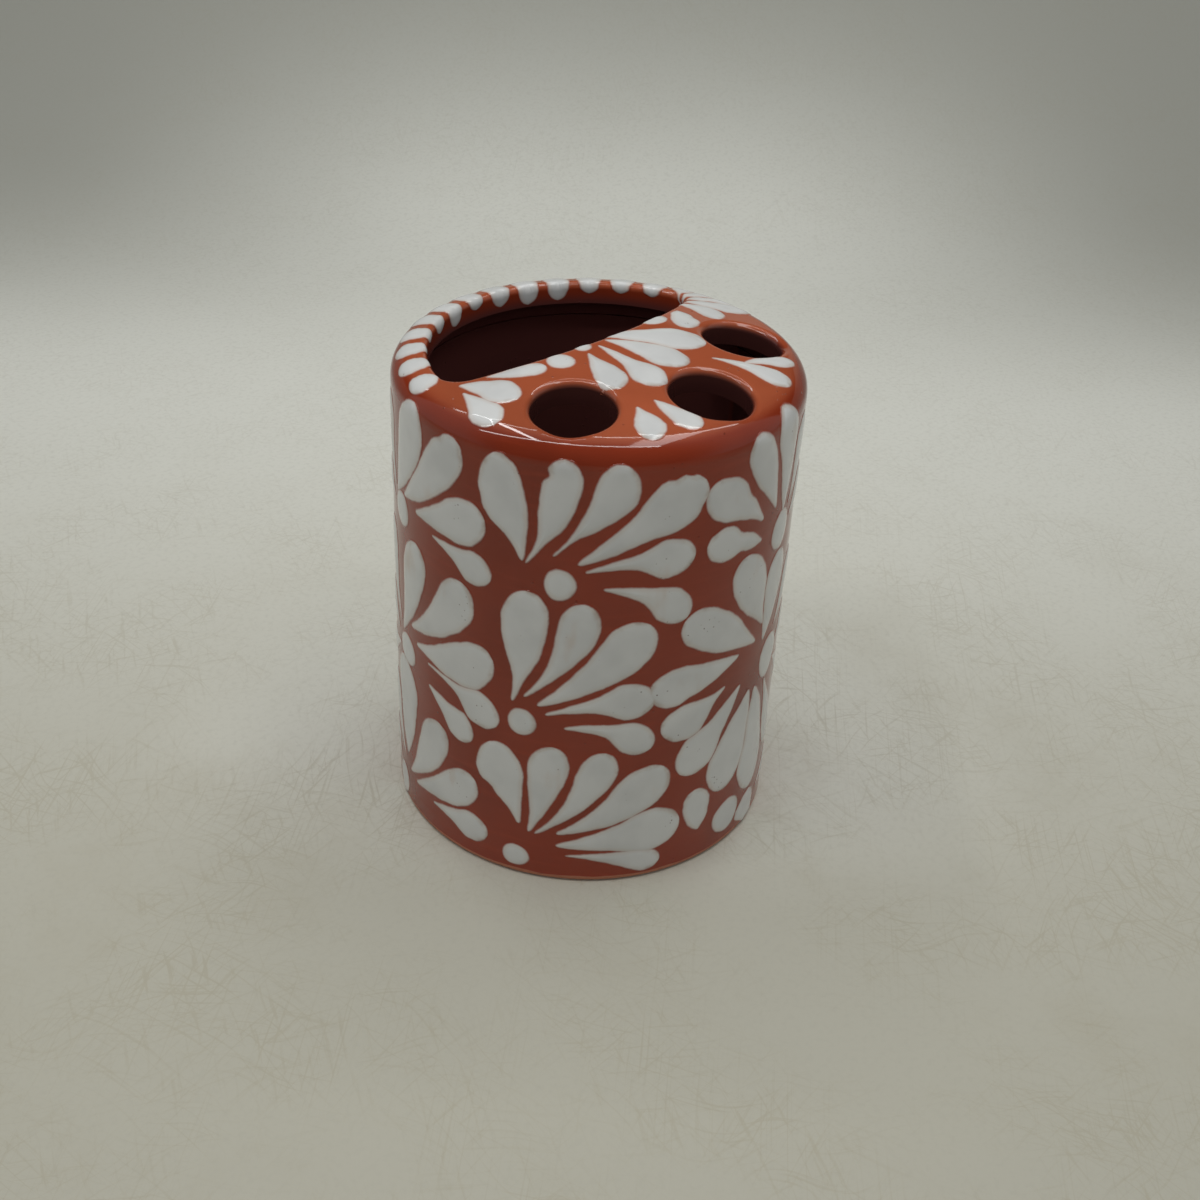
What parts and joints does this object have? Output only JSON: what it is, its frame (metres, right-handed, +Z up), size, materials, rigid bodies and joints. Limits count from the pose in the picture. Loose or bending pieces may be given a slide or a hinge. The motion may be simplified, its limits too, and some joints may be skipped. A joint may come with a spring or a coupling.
{
  "type": "toothbrush holder",
  "caption": "Round glazed ceramic toothbrush holder with a domed deck, brush holes and a wide D-shaped mouth, trimmed with raised white slip petals.",
  "frame": {"origin": "middle of the standing face", "axes": "+Z up along the drum's axis, -Y towards the deck with the brush holes, +Y towards the mouth"},
  "size_m": [0.0812, 0.0812, 0.1036],
  "materials": {
    "foot_clay": "gloss",
    "wall_glaze": "gloss",
    "deck_glaze": "gloss",
    "slip": "gloss"
  },
  "bodies": {
    "root": {"base_floor": "foot_clay", "body_wall": "wall_glaze", "top_deck": "deck_glaze", "back_centre_lower_fan": "slip", "back_centre_middle_fan": "slip", "back_centre_upper_fan": "slip", "back_left_lower_fan": "slip", "back_left_middle_fan": "slip", "back_left_upper_fan": "slip", "back_right_lower_fan": "slip", "back_right_middle_fan": "slip", "back_right_upper_fan": "slip", "deck_centre_fan": "slip", "deck_corner_fan": "slip", "deck_front_left_pair": "slip", "deck_front_right_pair": "slip", "deck_left_sprig": "slip", "deck_right_sprig": "slip", "front_centre_lower_fan": "slip", "front_centre_middle_fan": "slip", "front_centre_upper_fan": "slip", "front_left_lower_fan": "slip", "front_left_middle_fan": "slip", "front_left_upper_fan": "slip", "front_right_lower_fan": "slip", "front_right_middle_fan": "slip", "front_right_upper_fan": "slip", "rim_petals": "slip"}
  },
  "joints": []
}
